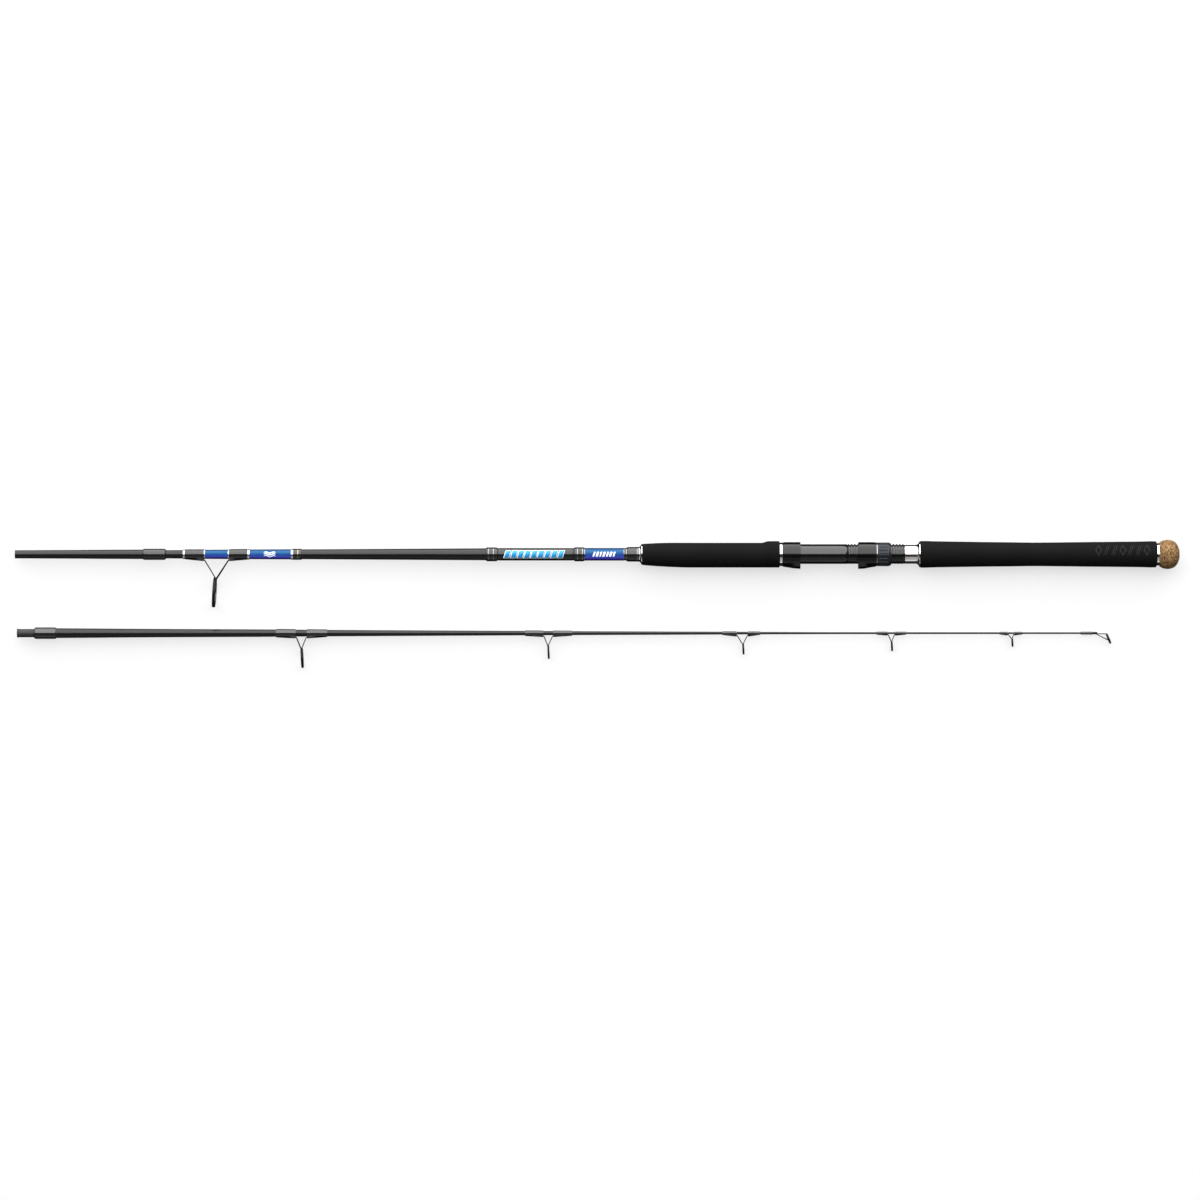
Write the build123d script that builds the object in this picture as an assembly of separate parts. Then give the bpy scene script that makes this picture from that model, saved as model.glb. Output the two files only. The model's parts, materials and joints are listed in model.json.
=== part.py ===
from build123d import *
import os
from math import acos, asin, cos, degrees, radians, sin

# Two-piece 2.44 m fishing rod, taken apart and laid flat on Z = 0 with its guides towards -Y.
# The butt section lies at +Y with its butt cap towards +X. The tip section lies beside it
# with its socket towards -X. Each section is made along its own X axis, in stations from
# its ferrule end, and then put in its place. Millimetres.

# Driving dimensions
BUTT_LENGTH = 1304.0
ROW_GAP = 88.3
TIP_SETBACK = 21.3
STRIPPER_RADIUS = 16.8
CORK_RADIUS = 16.6
FERRULE_ENGAGEMENT = 70.0
FINISH = 0.35
TRIM_PROUD = 0.06
BAND_LIFT = 0.25

# Blanks: (station, outer radius)
BUTT_BLANK = [(0.0, 4.0), (180.0, 4.7), (530.0, 6.75), (1294.0, 7.15)]
BUTT_WALL = 1.0
TIP_BLANK = [(0.0, 5.65), (145.0, 4.675), (250.0, 4.25), (335.0, 3.6), (610.0, 2.225),
             (890.0, 1.125), (1187.0, 0.95)]
SOCKET = [(0.0, 4.925), (FERRULE_ENGAGEMENT, 4.625)]
TIP_BORE = [(FERRULE_ENGAGEMENT, 4.3), (145.0, 3.85), (335.0, 2.85), (610.0, 1.5), (750.0, 0.9)]
TIP_FERRULE_END = 78.0

# Male ferrule: the first 70 mm goes into the socket
MALE_SLEEVE = [(0.0, 4.57), (66.0, 4.85), (97.0, 5.12), (146.0, 5.33), (160.0, 5.33)]
STOP_WRAP = (143.4, 169.1, 6.25)

# Wraps and trim on the butt blank: (from, to, radius)
SILVER_RINGS = [(188.2, 190.2, 5.3), (260.4, 262.7, 5.9), (309.2, 311.5, 6.05),
                (529.8, 530.9, 7.85), (535.4, 536.5, 7.85), (629.4, 630.6, 7.95),
                (635.0, 636.2, 7.95), (637.3, 638.5, 7.2), (681.6, 682.6, 7.2),
                (684.0, 685.3, 7.35), (696.4, 697.4, 8.26)]
STRIPPER_BAND = (211.7, 239.7)
STRIPPER_BAND_RING = 1.1
MIDDLE_BAND = (263.2, 309.1)
REAR_BAND = (638.5, 681.6)
GOLD_RING = (316.2, 317.6, 6.26)
TRIM_WRAP = (311.5, 321.3, 6.2)
LABEL_WRAP_FRONT = (527.5, 540.4, 7.8)
LABEL_SLEEVE = (541.0, 625.0)
LABEL_WRAP_REAR = (626.0, 637.3, 7.9)
CHECK_WRAP = (685.3, 699.0, 8.2)

# Grips and reel seat
WINDING_CHECK = (699.0, 702.2)
FOREGRIP_NOSE = [(702.2, 11.8, 0.1), (710.0, 12.4, 0.25), (722.0, 13.1, 0.4),
                 (736.0, 13.6, 0.65), (757.0, 13.85, 0.95)]
FOREGRIP_STRAIGHT_END = 838.0
FOREGRIP_COLLAR = (843.0, 856.2, 14.8)
SEAT = (859.6, 996.5)
SEAT_RADIUS = 11.3
SEAT_BORE = 9.6
SEAT_FLAT = 10.7
THREAD_START = 930.7
THREAD_CORE = 10.5
THREAD_CREST = 11.55
THREAD_PITCH = 3.6
THREAD_CREST_WIDTH = 1.2
THREAD_RAMP_WIDTH = 0.5
HOOD_BORE = 11.8
HOOD_LOBE = 8.6
FIXED_HOOD = [(859.6, 13.2, 13.6), (862.0, 13.7, 14.2), (872.0, 13.7, 15.7), (879.6, 13.7, 16.3)]
SLIDING_HOOD = [(944.4, 13.6, 16.3), (951.0, 13.7, 16.1), (958.0, 13.7, 14.7), (964.3, 13.5, 13.75)]
POCKET_MOUTH = (8.25, 7.0)
POCKET_STRAIGHT = 5.0
POCKET_END = (6.8, 6.2)
FIXED_POCKET_DEPTH = 15.0
SLIDING_POCKET_DEPTH = 12.5
NUT_SOCKET = (958.4, 963.1, 12.9)
NUT_RETAINER_BORE = 12.5
NUT_NECK = (958.7, 966.2, 12.25)
NUT_LIP = (958.7, 962.9, 12.7)
NUT_GRIP = (966.2, 978.5, 13.3)
NUT_END = (981.1, 11.95)
NUT_BORE = 11.75
NUT_FLUTES = 20
FLUTE_RADIUS = 1.0
SLIP_RING = (964.5, 966.2, 13.2)
ARBORS = [(862.0, 876.0), (910.0, 926.0), (982.0, 1013.3)]
REAR_SLEEVE = (996.5, 1009.5, 10.5)
REAR_CHECK = (1009.5, 1013.3, 14.4)
REAR_GRIP = [(1013.3, 14.6), (1018.0, 15.0), (1031.5, 14.6), (1058.0, 14.2), (1085.0, 13.8),
             (1112.0, 13.55), (1142.0, 13.2), (1179.0, 13.55), (1206.0, 13.85), (1233.0, 14.1),
             (1260.0, 14.4), (1273.0, 14.7), (1278.5, 13.0)]
GROOVE_STATIONS = [1213.0 + 9.0 * count for count in range(7)]
GROOVE_DEPTH = 0.5
GROOVE_TURN = 22.0
SLANTED_BAR = (2.4, 12.5, 20.0)
LOZENGE = (5.0, 5.0, 45.0)
BUTT_RING = (1278.5, 1281.6, 12.5)
CORK_CAP = [(1281.6, 13.2), (1285.5, 15.4), (1291.5, CORK_RADIUS), (1298.2, 14.4), (1301.9, 10.2),
            (BUTT_LENGTH, 5.0)]

# Guides: ring station, drop of the ring's centre below the rod's axis, ring outer radius,
# lean (outer end towards +X), then the far and near ends of the two feet, how far the wraps
# reach from the axis at their near ends, and how thick the wraps are.
# The first foot carries the pair of legs, and the second carries the single leg.
GUIDES = {
    "stripper": (223.3, 42.6, STRIPPER_RADIUS, -3.4, (260.4, 240.0), (190.4, 211.7), 7.6, 0.75),
    "guide_2": (300.1, 28.0, 11.0, 2.9, (270.8, 293.0), (328.2, 305.2), 5.9, 0.6),
    "guide_3": (576.2, 21.2, 7.7, 2.9, (549.8, 570.4), (602.9, 581.3), 4.4, 0.6),
    "guide_4": (794.6, 18.0, 6.05, 2.9, (770.9, 787.2), (813.7, 799.5), 3.8, 0.5),
    "guide_5": (961.2, 14.9, 5.4, 2.9, (943.6, 956.5), (977.3, 964.3), 2.8, 0.6),
    "guide_6": (1096.3, 10.8, 4.6, 2.9, (1081.5, 1091.2), (1107.6, 1097.9), 2.6, 0.5),
}
PAIR_SPREAD = 38.0
LEG_SINK = 0.2
WRAP_RAMP = 1.4
RAMP_RISE = 0.25

# Tip-top
TIP_RING = (1204.1, 6.1, 6.0, 23.0)
TIP_TUBE = (1176.0, 1191.5, 1.35)
TIP_WRAP = (1172.6, 1186.0, 1.65)
BRACE_ANGLE = 106.0

# Ferrule wrap round the socket, and the rubber plug in it
FERRULE_WRAP = (0.5, 24.5, 6.45)
PLUG_RIM = (-19.3, 5.0)
PLUG_SHANK = 4.65
PLUG_INSIDE = 14.0
PLUG_RIB = 4.75


# Where the two sections lie: guide 2 and the tip-top both touch the floor
GUIDE_2_REACH = GUIDES["guide_2"][1] + GUIDES["guide_2"][2]
BUTT_Y = (ROW_GAP + GUIDE_2_REACH - CORK_RADIUS) / 2
TIP_Y = BUTT_Y - ROW_GAP
TIP_TILT = asin((GUIDES["guide_2"][2] - TIP_RING[2]) / (TIP_RING[0] - GUIDES["guide_2"][0]))
TIP_Z = GUIDES["guide_2"][2] + GUIDES["guide_2"][0] * sin(TIP_TILT) + 0.01
BUTT_PLACE = Pos(-BUTT_LENGTH / 2, BUTT_Y, STRIPPER_RADIUS)
TIP_PLACE = Pos(-BUTT_LENGTH / 2 + TIP_SETBACK, TIP_Y, TIP_Z) * Rot(0, degrees(TIP_TILT), 0)


def radius_at(profile, station):
    """Outer radius of a tapered blank at a station."""
    for (start, first), (end, last) in zip(profile, profile[1:]):
        if station <= end:
            return first + (last - first) * (station - start) / (end - start)
    return profile[-1][1]


def turned(outline):
    """Solid of revolution about X of an open (station, radius) outline, closed on the axis."""
    closed = [(outline[0][0], 0.0)] + list(outline) + [(outline[-1][0], 0.0)]
    return revolve(make_face(Polyline(*closed, close=True)), axis=Axis.X)


def turned_smooth(outline):
    """The same with a smooth curve through the outline's points."""
    start = outline[0]
    end = outline[-1]
    sides = Polyline(end, (end[0], 0.0), (start[0], 0.0), start)
    return revolve(make_face(Spline(*outline) + sides), axis=Axis.X)


def disc(start, end, radius):
    """Plain cylinder along X."""
    return turned([(start, radius), (end, radius)])


def band(start, end, radius, core, edge=0.3):
    """Wrap or ring on a core, with its outer edges broken by a small chamfer."""
    chamfer = edge * 0.6
    shape = turned([(start, radius - chamfer), (start + edge, radius),
                    (end - edge, radius), (end, radius - chamfer)])
    return shape - core


def epoxy(start, end, radius, foot_start, foot_end, ramp):
    """Wrap under a clear finish that runs out in a smooth ramp at both ends."""
    rise = Spline((start, foot_start), (start + ramp, radius), tangents=[(0.5, 1.0), (1.0, 0.0)])
    fall = Spline((end - ramp, radius), (end, foot_end), tangents=[(1.0, 0.0), (0.5, -1.0)])
    top = Line((start + ramp, radius), (end - ramp, radius))
    base = Polyline((end, foot_end), (end, 0.0), (start, 0.0), (start, foot_start))
    return revolve(make_face(rise + top + fall + base), axis=Axis.X)


def cross_plane(station):
    """Plane across the rod: its x runs towards the guides."""
    return Plane(origin=(station, 0, 0), x_dir=(0, -1, 0), z_dir=(1, 0, 0))


def drop_section(station, radius, reach, lobe):
    """Round section that bulges towards the guides as far as reach."""
    offset = reach - lobe
    angle = acos((radius - lobe) / offset)
    large = (radius * cos(angle), radius * sin(angle))
    small = (offset + lobe * cos(angle), lobe * sin(angle))
    outline = ThreePointArc((large[0], -large[1]), (-radius, 0), large)
    outline += Line(large, small)
    outline += ThreePointArc(small, (reach, 0), (small[0], -small[1]))
    outline += Line((small[0], -small[1]), (large[0], -large[1]))
    return cross_plane(station) * make_face(outline)


def stadium_section(station, offset, half_width):
    """Slot-shaped section from the axis out to a rounded end."""
    outline = Line((0, -half_width), (offset, -half_width))
    outline += ThreePointArc((offset, -half_width), (offset + half_width, 0), (offset, half_width))
    outline += Line((offset, half_width), (0, half_width))
    outline += Line((0, half_width), (0, -half_width))
    return cross_plane(station) * make_face(outline)


def round_section(station, offset, radius):
    """Circle across the rod, with its centre moved towards the guides."""
    return cross_plane(station) * Pos(offset, 0) * Circle(radius)


def wire(points, radius, bend):
    """Round wire through the points, with its corners bent to a radius."""
    path = FilletPolyline(*points, radius=bend)
    section = Plane(origin=path @ 0, z_dir=path % 0) * Circle(radius)
    return sweep(section, path=path)


def straight_wire(start, end, radius):
    """Straight round wire from one point to another."""
    path = Line(start, end)
    section = Plane(origin=path @ 0, z_dir=path % 0) * Circle(radius)
    return sweep(section, path=path)


# Guide rings

def band_thickness(radius):
    """Thickness of the metal band of a ring, from the ring's outer radius."""
    return 0.35 + 0.033 * radius


def ring_width(radius):
    """Width of a ring along the line's path."""
    return 1.2 + 0.13 * radius


def ring_bore(radius):
    """Inner radius of the ceramic."""
    return radius - band_thickness(radius) - 0.3 - 0.14 * radius


def ring_land(radius):
    """Length of the straight part of the ceramic's bore."""
    return ring_width(radius) * 0.3


def ring_hole(radius):
    """Everything inside the metal band of a ring, round the X axis."""
    reach = ring_width(radius) * 0.55
    return disc(-reach, reach, radius - band_thickness(radius))


def ring_band(radius):
    """Metal band of a ring, round the X axis."""
    half = ring_width(radius) / 2
    edge = band_thickness(radius) * 0.45
    return turned([(-half, radius - edge), (edge - half, radius),
                   (half - edge, radius), (half, radius - edge)]) - ring_hole(radius)


def ring_ceramic(radius):
    """Rounded ceramic insert of a ring, round the X axis."""
    outer = radius - band_thickness(radius)
    inner = ring_bore(radius)
    half = ring_width(radius) * 0.43
    land = ring_land(radius) / 2
    shoulder = outer - 0.35 * (outer - inner)
    left = Spline((-half, shoulder), (-land, inner), tangents=[(0.0, -1.0), (1.0, 0.0)])
    right = Spline((land, inner), (half, shoulder), tangents=[(1.0, 0.0), (0.0, 1.0)])
    bore = Line((-land, inner), (land, inner))
    back = Polyline((half, shoulder), (half, outer), (-half, outer), (-half, shoulder))
    return revolve(make_face(left + bore + right + back), axis=Axis.X)


def ring_place(station, drop, lean):
    """Where a ring goes: across the rod, below it, leaning in the plane of the guides."""
    return Pos(station, -drop, 0) * Rot(0, 0, lean)


def ring_point(station, drop, radius, lean, around, back=0.0):
    """Point in the band, at an angle round the ring from the place nearest the rod.

    It lies in the middle of the band's width, or back from there towards the rod's socket end.
    """
    middle = radius - band_thickness(radius) * 0.5
    rise = middle * cos(radians(around))
    turn = radians(lean)
    return (station - rise * sin(turn) - back * cos(turn),
            -drop + rise * cos(turn) - back * sin(turn), middle * sin(radians(around)))


def foot_sizes(blank, station, reach, lift, half_width):
    """Lobe centre and half width of a foot section under its wrap."""
    lobe = half_width + FINISH
    return reach - lobe, lobe, radius_at(blank, station) + lift


def guide(name, blank, core):
    """Frame, ceramic and wraps of one guide, as (frame, ceramic, first wrap, second wrap)."""
    station, drop, radius, lean, pair_foot, single_foot, reach, lift = GUIDES[name]
    place = ring_place(station, drop, lean)
    half_near = 0.8 + 0.05 * radius
    half_far = 0.45
    frame = place * ring_band(radius)
    wraps = []
    feet = ((pair_foot, 0.43 + 0.018 * radius, (-PAIR_SPREAD, PAIR_SPREAD)),
            (single_foot, 0.38 + 0.015 * radius, (0.0,)))
    for (far, near), leg, angles in feet:
        way = 1.0 if near > far else -1.0
        far_reach = radius_at(blank, far) + lift + 0.2
        near_offset, near_lobe, near_radius = foot_sizes(blank, near, reach, lift, half_near)
        far_offset, far_lobe, far_radius = foot_sizes(blank, far, far_reach, lift, half_far)
        frame += loft([stadium_section(far + way * 1.5, far_offset, half_far),
                       stadium_section(near, near_offset, half_near)]) - core
        depth = near_offset + half_near - leg - LEG_SINK
        side_reach = (half_near - leg - LEG_SINK / 2) / sin(radians(PAIR_SPREAD))
        for around in angles:
            side = side_reach * sin(radians(around))
            end = ring_point(station, drop, radius, lean, around)
            points = [(near - way * 1.2, -depth, side), (near + way * leg, -depth, side), end]
            frame += wire(points, leg, leg * 1.6)
        top = loft([drop_section(far + way * WRAP_RAMP, far_radius, far_reach, far_lobe),
                    drop_section(near - way * WRAP_RAMP, near_radius, reach, near_lobe)])
        far_ramp = loft([drop_section(far, far_radius - RAMP_RISE, far_reach - RAMP_RISE, far_lobe),
                         drop_section(far + way * WRAP_RAMP, far_radius, far_reach, far_lobe)])
        near_ramp = loft([drop_section(near - way * WRAP_RAMP, near_radius, reach, near_lobe),
                          drop_section(near, near_radius - RAMP_RISE, reach - RAMP_RISE, near_lobe)])
        wraps.append(far_ramp + top + near_ramp - core)
    frame -= place * ring_hole(radius)
    return frame, place * ring_ceramic(radius), wraps[0] - frame, wraps[1] - frame


# Butt section

def butt_core():
    """Outside of the butt blank, without its bore."""
    return turned(BUTT_BLANK)


def butt_blank():
    bore = [(station, radius - BUTT_WALL) for station, radius in BUTT_BLANK]
    return butt_core() - turned(bore)


def ferrule_parts(core):
    sleeve_solid = turned(MALE_SLEEVE)
    start, end, radius = STOP_WRAP
    wrap = epoxy(start, end, radius, 5.4, 4.75, 2.2)
    return {"male_ferrule": sleeve_solid - core, "ferrule_stop_wrap": wrap - sleeve_solid - core}


def trim_parts(core):
    """Silver and gold rings, blue bands and the plain wraps between them."""
    start, end = STRIPPER_BAND
    stripper_radius = radius_at(BUTT_BLANK, end) + BAND_LIFT
    rings = SILVER_RINGS + [(start, start + STRIPPER_BAND_RING, stripper_radius + TRIM_PROUD),
                            (end - STRIPPER_BAND_RING, end, stripper_radius + TRIM_PROUD)]
    silver = Part() + [band(first, last, radius, core, 0.2) for first, last, radius in rings]
    gold = band(*GOLD_RING, core, 0.2)
    parts = {"silver_trim_rings": silver, "gold_trim_ring": gold}
    front = (start + STRIPPER_BAND_RING, end - STRIPPER_BAND_RING)
    for name, (first, last) in (("blue_band_front", front), ("blue_band_middle", MIDDLE_BAND),
                                ("blue_band_rear", REAR_BAND)):
        outer = turned([(first, radius_at(BUTT_BLANK, first) + BAND_LIFT),
                        (last, radius_at(BUTT_BLANK, last) + BAND_LIFT)])
        parts[name] = outer - core
    parts["trim_wrap"] = epoxy(*TRIM_WRAP, 6.0, 5.6, 1.2) - core - gold
    parts["label_wrap_front"] = epoxy(*LABEL_WRAP_FRONT, 6.95, 7.0, 2.6) - core - silver
    parts["label_wrap_rear"] = epoxy(*LABEL_WRAP_REAR, 7.0, 7.3, 1.8) - core - silver
    parts["check_wrap"] = epoxy(*CHECK_WRAP, 7.4, 7.9, 1.2) - core - silver
    first, last = LABEL_SLEEVE
    parts["label_sleeve"] = band(first, last, radius_at(BUTT_BLANK, last) + 0.15, core, 0.4)
    return parts


def winding_check(core):
    """Thin flared metal collar against the front of the foregrip."""
    start, end = WINDING_CHECK
    flare = Spline((start, 8.5), (end - 0.7, 11.4), tangents=[(1.0, 0.15), (0.5, 1.0)])
    rest = Polyline((end - 0.7, 11.4), (end - 0.3, 11.6), (end, 11.6), (end, 0.0), (start, 0.0),
                    (start, 8.5))
    return revolve(make_face(flare + rest), axis=Axis.X) - core


def foregrip(core):
    nose = loft([round_section(station, offset, radius) for station, radius, offset in FOREGRIP_NOSE])
    station, radius, offset = FOREGRIP_NOSE[-1]
    start, end, collar_radius = FOREGRIP_COLLAR
    straight = loft([round_section(station, offset, radius),
                     round_section(FOREGRIP_STRAIGHT_END, offset, radius)])
    ramp = loft([round_section(FOREGRIP_STRAIGHT_END, offset, radius),
                 round_section(start, 0.0, collar_radius)])
    collar = turned([(start, collar_radius), (end - 0.8, collar_radius), (end, collar_radius - 0.8)])
    return nose + straight + ramp + collar - core


def thread_outline():
    """Outline of the threaded part: one trapezoid ridge after another at the thread's pitch."""
    outline = [(THREAD_START, SEAT_RADIUS), (THREAD_START + 0.4, THREAD_CORE)]
    ridge = THREAD_START + 1.4
    while ridge + THREAD_CREST_WIDTH + 2 * THREAD_RAMP_WIDTH < SEAT[1]:
        crest = ridge + THREAD_RAMP_WIDTH
        outline += [(ridge, THREAD_CORE), (crest, THREAD_CREST),
                    (crest + THREAD_CREST_WIDTH, THREAD_CREST),
                    (crest + THREAD_CREST_WIDTH + THREAD_RAMP_WIDTH, THREAD_CORE)]
        ridge += THREAD_PITCH
    return outline + [(SEAT[1], THREAD_CORE)]


def seat_barrel():
    """Reel seat tube: plain in front, threaded behind, with a shallow flat for the reel foot."""
    start, end = SEAT
    tube = turned([(start, SEAT_RADIUS)] + thread_outline()) - disc(start - 1, end + 1, SEAT_BORE)
    flat = Pos((start + end) / 2, -SEAT_FLAT - 5.0, 0) * Box(end - start + 2, 10.0, 30.0)
    return tube - flat


def hood_shell(sections):
    """Solid outside of a hood: round, with a lobe over the reel foot."""
    outlines = [drop_section(station, radius, reach, HOOD_LOBE) for station, radius, reach in sections]
    return loft(outlines, ruled=True)


def pocket(mouth, depth):
    """Space for the reel foot, from a hood's mouth inwards; depth is signed."""
    way = 1.0 if depth > 0 else -1.0
    return loft([round_section(mouth - way, *POCKET_MOUTH),
                 round_section(mouth + way * POCKET_STRAIGHT, *POCKET_MOUTH),
                 round_section(mouth + depth, *POCKET_END)], ruled=True)


def hoods(barrel_bore):
    fixed_mouth = FIXED_HOOD[-1][0]
    seat_solid = disc(SEAT[0] - 1, THREAD_START, SEAT_RADIUS)
    fixed = hood_shell(FIXED_HOOD) - seat_solid - pocket(fixed_mouth, -FIXED_POCKET_DEPTH)
    start = SLIDING_HOOD[0][0]
    end = SLIDING_HOOD[-1][0]
    sliding = hood_shell(SLIDING_HOOD) - disc(start - 1, end + 1, barrel_bore)
    sliding -= pocket(start, SLIDING_POCKET_DEPTH)
    sliding -= disc(*NUT_SOCKET)
    sliding -= disc(NUT_SOCKET[1], end + 1, NUT_RETAINER_BORE)
    return fixed, sliding


def lock_nut():
    """Fluted hand nut whose neck snaps into the sliding hood."""
    start, end, radius = NUT_GRIP
    grip = turned([(start, radius - 0.3), (start + 0.3, radius), (end, radius), NUT_END])
    flute = Pos((start + end) / 2, 0, radius + FLUTE_RADIUS * 0.45) * Rot(0, 90, 0)
    flute *= Cylinder(FLUTE_RADIUS, end - start - 2.4)
    flutes = [Rot(count * 360.0 / NUT_FLUTES, 0, 0) * flute for count in range(NUT_FLUTES)]
    body = grip - flutes + disc(*NUT_NECK) + disc(*NUT_LIP)
    return body - disc(NUT_NECK[0] - 1, NUT_END[0] + 1, NUT_BORE)


def rear_check():
    """Concave metal flare between the seat and the rear grip."""
    start, end, radius = REAR_CHECK
    flare = Spline((start, REAR_SLEEVE[2] + 0.2), (end - 0.5, radius), tangents=[(1.0, 0.2), (0.4, 1.0)])
    rest = Polyline((end - 0.5, radius), (end, radius), (end, 0.0), (start, 0.0),
                    (start, REAR_SLEEVE[2] + 0.2))
    return revolve(make_face(flare + rest), axis=Axis.X) - disc(start - 1, end + 1, SEAT_BORE)


def rear_grip(core):
    """Long grip, with a row of shallow slanted grooves pressed into its top."""
    body = turned_smooth(REAR_GRIP) - core
    for count, station in enumerate(GROOVE_STATIONS):
        width, height, slant = SLANTED_BAR if count % 3 else LOZENGE
        floor = radius_at(REAR_GRIP, station) - GROOVE_DEPTH
        bar = Pos(station, 0, floor + 5.0) * Rot(0, 0, slant) * Box(width, height, 10.0)
        body -= Rot(-GROOVE_TURN, 0, 0) * bar
    return body


def butt_section():
    """Every piece of the butt section, by node name."""
    core = butt_core()
    parts = {"butt_blank": butt_blank()}
    parts.update(ferrule_parts(core))
    parts.update(trim_parts(core))
    frame, ceramic, rear_wrap, front_wrap = guide("stripper", BUTT_BLANK, core)
    parts["stripper_frame"] = frame
    parts["stripper_ceramic"] = ceramic
    parts["stripper_wrap_rear"] = rear_wrap
    parts["stripper_wrap_front"] = front_wrap
    parts["winding_check"] = winding_check(core)
    parts["foregrip"] = foregrip(core)
    parts["foregrip_ring"] = band(FOREGRIP_COLLAR[1], SEAT[0], 13.2, core, 0.5)
    parts["seat_barrel"] = seat_barrel()
    parts["seat_arbors"] = Part() + [disc(start, end, SEAT_BORE) - core for start, end in ARBORS]
    parts["fixed_hood"], parts["sliding_hood"] = hoods(HOOD_BORE)
    parts["lock_nut"] = lock_nut()
    slip_start, slip_end, slip_radius = SLIP_RING
    nut_neck = disc(slip_start, slip_end, NUT_NECK[2])
    parts["slip_ring"] = band(slip_start, slip_end, slip_radius, nut_neck)
    sleeve_start, sleeve_end, sleeve_radius = REAR_SLEEVE
    parts["rear_sleeve"] = band(sleeve_start, sleeve_end, sleeve_radius,
                                disc(sleeve_start, sleeve_end, SEAT_BORE))
    parts["rear_check"] = rear_check()
    parts["rear_grip"] = rear_grip(core)
    parts["butt_ring"] = band(*BUTT_RING, core, 0.5)
    parts["cork_cap"] = turned_smooth(CORK_CAP) - core
    return parts


# Tip section

def tip_core():
    """Outside of the tip blank, without its bore."""
    return turned(TIP_BLANK)


def tip_top(core):
    """Frame, ceramic and wrap of the tip-top."""
    station, drop, radius, lean = TIP_RING
    start, end, tube_radius = TIP_TUBE
    place = ring_place(station, drop, lean)
    frame = place * ring_band(radius)
    frame += turned([(start, tube_radius), (end - 0.4, tube_radius), (end, tube_radius - 0.4)])
    frame += straight_wire((end - 3.0, -0.8, 0), ring_point(station, drop, radius, lean, 0.0), 0.55)
    back = ring_width(radius) / 2 - 0.3
    for side in (-1, 1):
        joint = ring_point(station, drop, radius, lean, side * BRACE_ANGLE, back)
        frame += straight_wire((end - 1.5, -0.9, side * 0.6), joint, 0.45)
    frame -= place * ring_hole(radius)
    frame -= core
    wrap_start, wrap_end, wrap_radius = TIP_WRAP
    wrap = epoxy(wrap_start, wrap_end, wrap_radius, 1.1, tube_radius + 0.05, 2.5) - core - frame
    return frame, place * ring_ceramic(radius), wrap


def ferrule_plug():
    """Rubber plug that keeps dirt out of the socket: a flared pull rim and a ribbed stem."""
    rim_start, rim = PLUG_RIM
    outside = [(rim_start, rim - 0.4), (rim_start + 0.4, rim), (rim_start + 1.2, rim),
               (rim_start + 2.4, PLUG_SHANK), (-0.05, PLUG_SHANK)]
    inside = []
    for count in range(3):
        rib = 2.0 + 4.0 * count
        inside += [(rib, 4.2), (rib + 0.8, PLUG_RIB), (rib + 1.6, PLUG_RIB), (rib + 2.4, 4.2)]
    return turned(outside + [(-0.05, 4.2)] + inside + [(PLUG_INSIDE - 0.8, 4.2), (PLUG_INSIDE, 3.2)])


def tip_section():
    """Every piece of the tip section, by node name."""
    core = tip_core()
    tube = core - turned(SOCKET) - turned(TIP_BORE)
    ferrule_space = disc(-1.0, TIP_FERRULE_END, 2 * TIP_BLANK[0][1])
    parts = {"tip_blank": tube - ferrule_space, "tip_ferrule": tube & ferrule_space}
    start, end, radius = FERRULE_WRAP
    parts["ferrule_wrap"] = epoxy(start, end, radius, 5.75, 5.6, 3.0) - core
    for name in list(GUIDES)[1:]:
        frame, ceramic, rear_wrap, front_wrap = guide(name, TIP_BLANK, core)
        parts[name + "_frame"] = frame
        parts[name + "_ceramic"] = ceramic
        parts[name + "_wraps"] = Part() + [rear_wrap, front_wrap]
    frame, ceramic, wrap = tip_top(core)
    parts["tip_top_frame"] = frame
    parts["tip_top_ceramic"] = ceramic
    parts["tip_top_wrap"] = wrap
    parts["ferrule_plug"] = ferrule_plug()
    return parts


def placed(place, parts):
    """The pieces of a section, each moved to where it lies."""
    return {name: place * piece for name, piece in parts.items()}


NODES = {**placed(BUTT_PLACE, butt_section()), **placed(TIP_PLACE, tip_section())}

os.makedirs("parts", exist_ok=True)
for node, solid in NODES.items():
    export_step(solid, "parts/" + node + ".step")
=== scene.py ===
import json
import math

import bpy
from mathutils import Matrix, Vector, noise


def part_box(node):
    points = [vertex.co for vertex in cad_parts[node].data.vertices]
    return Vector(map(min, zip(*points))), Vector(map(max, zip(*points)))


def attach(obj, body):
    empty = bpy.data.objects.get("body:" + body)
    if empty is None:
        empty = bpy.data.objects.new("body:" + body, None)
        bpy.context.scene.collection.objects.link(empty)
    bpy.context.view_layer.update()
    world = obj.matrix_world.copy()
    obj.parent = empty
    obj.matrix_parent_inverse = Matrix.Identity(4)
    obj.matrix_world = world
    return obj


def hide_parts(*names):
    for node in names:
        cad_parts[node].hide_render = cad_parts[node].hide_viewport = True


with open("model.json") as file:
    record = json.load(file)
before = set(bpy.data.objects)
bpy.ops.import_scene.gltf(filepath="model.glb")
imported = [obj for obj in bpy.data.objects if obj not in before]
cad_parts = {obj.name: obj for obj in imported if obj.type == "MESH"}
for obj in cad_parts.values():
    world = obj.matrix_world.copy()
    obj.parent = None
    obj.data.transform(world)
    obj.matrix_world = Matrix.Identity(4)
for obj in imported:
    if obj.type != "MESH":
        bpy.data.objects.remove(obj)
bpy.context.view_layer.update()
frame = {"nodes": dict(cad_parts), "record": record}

# Two-piece fishing rod, laid flat on a pale floor and seen from straight above.
# Lengths are in metres. MM turns the sizes that are easier to read in millimetres.
MM = 0.001
TURN = 2 * math.pi

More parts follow.
